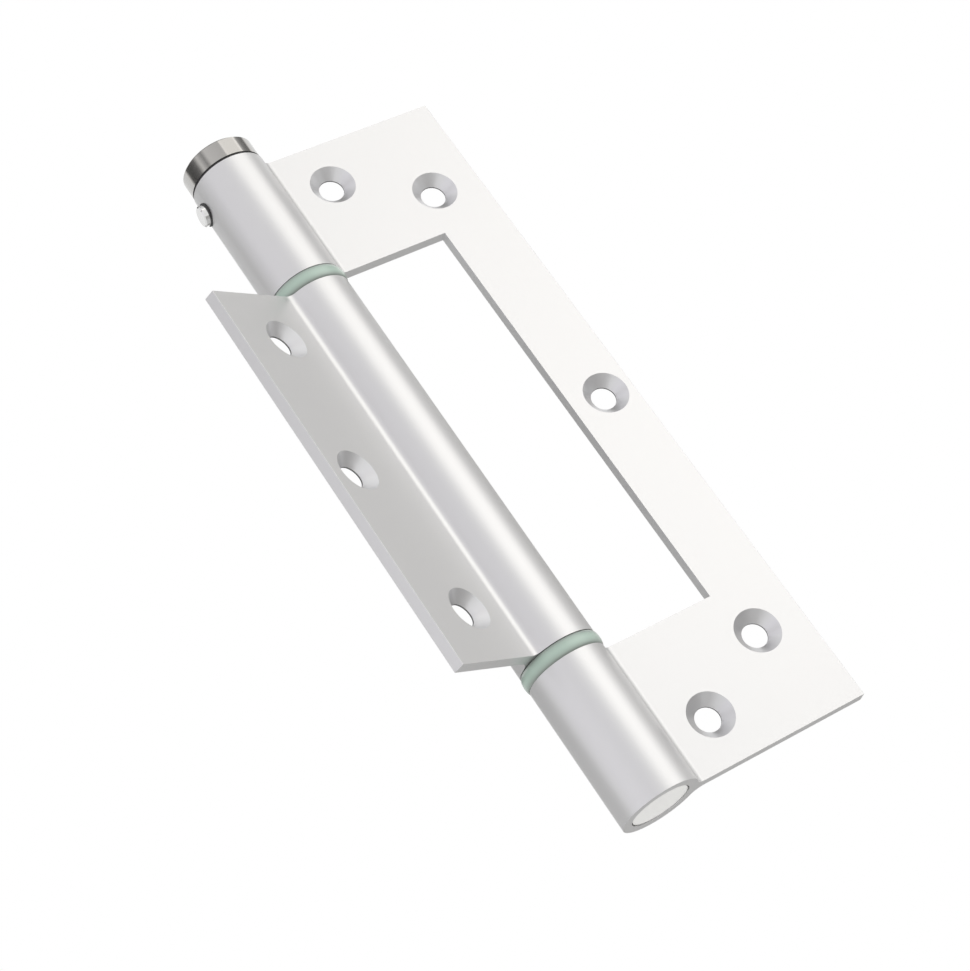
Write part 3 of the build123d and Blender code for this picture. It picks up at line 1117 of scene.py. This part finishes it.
def make_camera(scene, studio):
    """The photograph's view: from below and in front of the countersunk faces."""
    data = bpy.data.cameras.new("camera")
    data.sensor_width = SENSOR_LONG_SIDE
    data.lens = studio.focal_length
    data.clip_start = 10 * MM
    data.clip_end = 20.0
    camera = add_object("camera", data)
    camera.location = [part * MM for part in CAMERA_PLACE]
    camera.rotation_euler = [math.radians(part) for part in CAMERA_TURN]
    scene.camera = camera


def seen_in_picture(tree):
    """1 for rays from the eye, or by way of a mirror or glass, and 0 for rays that only light."""
    rays = add_node(tree, "ShaderNodeLightPath").outputs
    seen = rays["Is Camera Ray"]
    for kind in ("Is Glossy Ray", "Is Transmission Ray"):
        seen = add_node(tree, "ShaderNodeMath", {0: seen, 1: rays[kind]}, operation="MAXIMUM")
    return seen


def make_room(scene, studio):
    """A white room: full white to the eye and in reflections, softer as light on matt surfaces."""
    world = bpy.data.worlds.new("white_room")
    world.use_nodes = True
    tree = world.node_tree
    tree.nodes.clear()
    strength = add_node(
        tree,
        "ShaderNodeMapRange",
        {"Value": seen_in_picture(tree), "To Min": studio.world_strength, "To Max": 1.0},
    )
    light = add_node(
        tree, "ShaderNodeBackground", {"Color": linear("FFFFFF"), "Strength": strength}
    )
    add_node(tree, "ShaderNodeOutputWorld", {"Surface": light})
    world.cycles.sampling_method = "NONE"
    scene.world = world


def make_floor(studio):
    """A plain pale floor that keeps a soft shadow and meets the room without a line."""
    material, tree = start_material("pale_floor")
    amount = add_node(
        tree,
        "ShaderNodeMath",
        {0: seen_in_picture(tree), 1: FLOOR_WHITENESS},
        operation="MULTIPLY",
    )
    matt = add_node(tree, "ShaderNodeBsdfDiffuse", {"Color": linear("FCFCFB")})
    glow = add_node(tree, "ShaderNodeEmission", {"Color": linear("FFFFFF"), "Strength": 1.0})
    mixed = add_node(tree, "ShaderNodeMixShader", {0: amount, 1: matt, 2: glow})
    add_node(tree, "ShaderNodeOutputMaterial", {"Surface": mixed})
    shape = bmesh.new()
    bmesh.ops.create_circle(shape, cap_ends=True, segments=96, radius=FLOOR_RADIUS)
    bmesh.ops.translate(shape, verts=shape.verts, vec=(0, 0, -studio.floor_drop))
    mesh = bpy.data.meshes.new("floor")
    shape.to_mesh(mesh)
    shape.free()
    mesh.materials.append(material)
    floor = add_object("floor", mesh)


def direction(azimuth, elevation):
    """Unit vector from an azimuth and an elevation in degrees."""
    turn, rise = math.radians(azimuth), math.radians(elevation)
    level = math.cos(rise)
    return Vector((math.cos(turn) * level, math.sin(turn) * level, math.sin(rise)))


def make_key_lamp(studio):
    """One large soft key lamp that the countersunk face of the frame leaf mirrors."""
    way = direction(KEY_AZIMUTH, KEY_ELEVATION)
    data = bpy.data.lights.new("key_lamp", "AREA")
    data.shape = "RECTANGLE"
    data.size = KEY_WIDTH
    data.size_y = KEY_HEIGHT
    data.color = studio.key_colour
    data.energy = studio.key_strength * math.pi * KEY_WIDTH * KEY_HEIGHT
    lamp = add_object("key_lamp", data)
    lamp.location = way * KEY_DISTANCE
    lamp.rotation_euler = way.to_track_quat("Z", "Y").to_euler()
    lamp.visible_camera = False


def tone_at(stops, azimuth):
    """The tone at an azimuth, read along straight lines between a reflector's stops."""
    places = list(stops)
    for start, end in zip(places, places[1:]):
        if azimuth <= end:
            share = (azimuth - start) / (end - start)
            return stops[start] + (stops[end] - stops[start]) * share
    return stops[places[-1]]


def make_reflector_mesh(name, tint, low, high, distance, stops):
    """A curved board, three rows high, that holds its tones at its corners."""
    first, last = min(stops), max(stops)
    columns = math.ceil((last - first) / REFLECTOR_STEP)
    tones, rows = [], []
    shape = bmesh.new()
    for column in range(columns + 1):
        azimuth = first + (last - first) * column / columns
        tone = tone_at(stops, azimuth)
        row = []
        for elevation in (low, (low + high) / 2, high):
            row.append(shape.verts.new(direction(azimuth, elevation) * distance))
            tones.extend([part * tone for part in linear(tint)[:3]] + [1.0])
        rows.append(row)
    for left, right in zip(rows, rows[1:]):
        for step in range(len(left) - 1):
            shape.faces.new((left[step], right[step], right[step + 1], left[step + 1]))
    mesh = bpy.data.meshes.new(name)
    shape.to_mesh(mesh)
    shape.free()
    mesh.attributes.new("tone", "FLOAT_COLOR", "POINT").data.foreach_set("color", tones)
    return mesh


def make_reflectors():
    """Curved grey boards round the object, which shape its reflections and light nothing."""
    material, tree = start_material("grey_reflector")
    board_tone = add_node(tree, "ShaderNodeAttribute", attribute_name="tone")
    glow = add_node(tree, "ShaderNodeEmission", {"Color": board_tone, "Strength": 1.0})
    add_node(tree, "ShaderNodeOutputMaterial", {"Surface": glow})
    for name, settings in REFLECTORS.items():
        mesh = make_reflector_mesh(name, *settings)
        mesh.materials.append(material)
        board = add_object(name, mesh)
        board.visible_camera = False
        board.visible_diffuse = False
        board.visible_shadow = False
        board.visible_transmission = False


# Panel and registration

class HINGE_PT_panel(bpy.types.Panel):
    """Operators and settings of the spring hinge"""

    bl_idname = "HINGE_PT_panel"
    bl_label = "Spring Hinge"
    bl_space_type = "VIEW_3D"
    bl_region_type = "UI"
    bl_category = "Spring Hinge"

    def draw(self, context):
        layout = self.layout
        for operator in OPERATORS:
            layout.operator(operator.bl_idname)
        scene = context.scene
        for group in (scene.hinge_sizes, scene.hinge_finishes, scene.hinge_studio):
            box = layout.box()
            for name in group.bl_rna.properties.keys():
                if name not in ("rna_type", "name"):
                    box.prop(group, name)


OPERATORS = (
    HINGE_OT_studio,
    HINGE_OT_leaves,
    HINGE_OT_tension_set,
    HINGE_OT_turned_rings,
    HINGE_OT_torsion_spring,
    HINGE_OT_core,
)
CLASSES = (HingeSizes, HingeFinishes, HingeStudio, *OPERATORS, HINGE_PT_panel)


def register():
    for item in CLASSES:
        bpy.utils.register_class(item)
    bpy.types.Scene.hinge_sizes = PointerProperty(type=HingeSizes)
    bpy.types.Scene.hinge_finishes = PointerProperty(type=HingeFinishes)
    bpy.types.Scene.hinge_studio = PointerProperty(type=HingeStudio)


def unregister():
    del bpy.types.Scene.hinge_studio
    del bpy.types.Scene.hinge_finishes
    del bpy.types.Scene.hinge_sizes
    for item in reversed(CLASSES):
        bpy.utils.unregister_class(item)


def main():
    """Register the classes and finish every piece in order."""
    register()
    bpy.ops.hinge.studio()
    bpy.ops.hinge.leaves()
    bpy.ops.hinge.tension_set()
    bpy.ops.hinge.turned_rings()
    bpy.ops.hinge.torsion_spring()
    bpy.ops.hinge.core()


if __name__ == "__main__":
    main()
